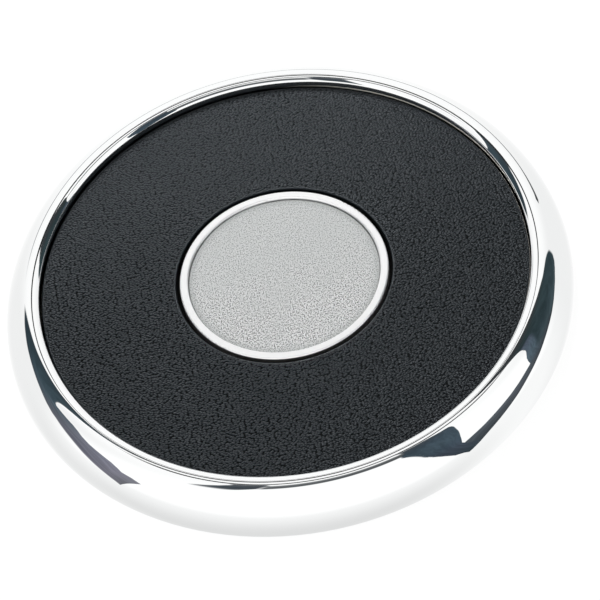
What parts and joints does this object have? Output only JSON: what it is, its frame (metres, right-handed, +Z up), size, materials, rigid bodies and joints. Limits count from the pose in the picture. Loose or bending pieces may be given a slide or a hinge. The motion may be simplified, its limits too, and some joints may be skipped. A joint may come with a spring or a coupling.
{
  "type": "wine bottle coaster",
  "caption": "Round coaster that holds a wine bottle in a shallow leather-lined recess inside a polished metal rim, with a blank medallion in the middle.",
  "frame": {"origin": "centre of the felt's underside, on the surface that the coaster stands on", "axes": "+Z up, along the axis of the round rim; X and Y are alike"},
  "size_m": [0.12, 0.12, 0.0105],
  "materials": {
    "rim_chrome": "polished chrome plate on pressed metal",
    "cup_metal": "polished plate",
    "medallion_metal": "fine blasted and pebbled, satin",
    "leather": "black pebble grain",
    "greyboard": "raw board",
    "board": "raw fibreboard",
    "felt": "black needled felt",
    "tape": "double-sided adhesive film"
  },
  "bodies": {
    "root": {"rim_shell": "rim_chrome", "base_board": "board", "felt_tape": "tape", "base_felt": "felt", "backing_tape": "tape", "backing_ring": "greyboard", "leather_ring": "leather", "cup_tape": "tape", "medallion_cup": "cup_metal", "disc_tape": "tape", "medallion_disc": "medallion_metal"}
  },
  "joints": []
}
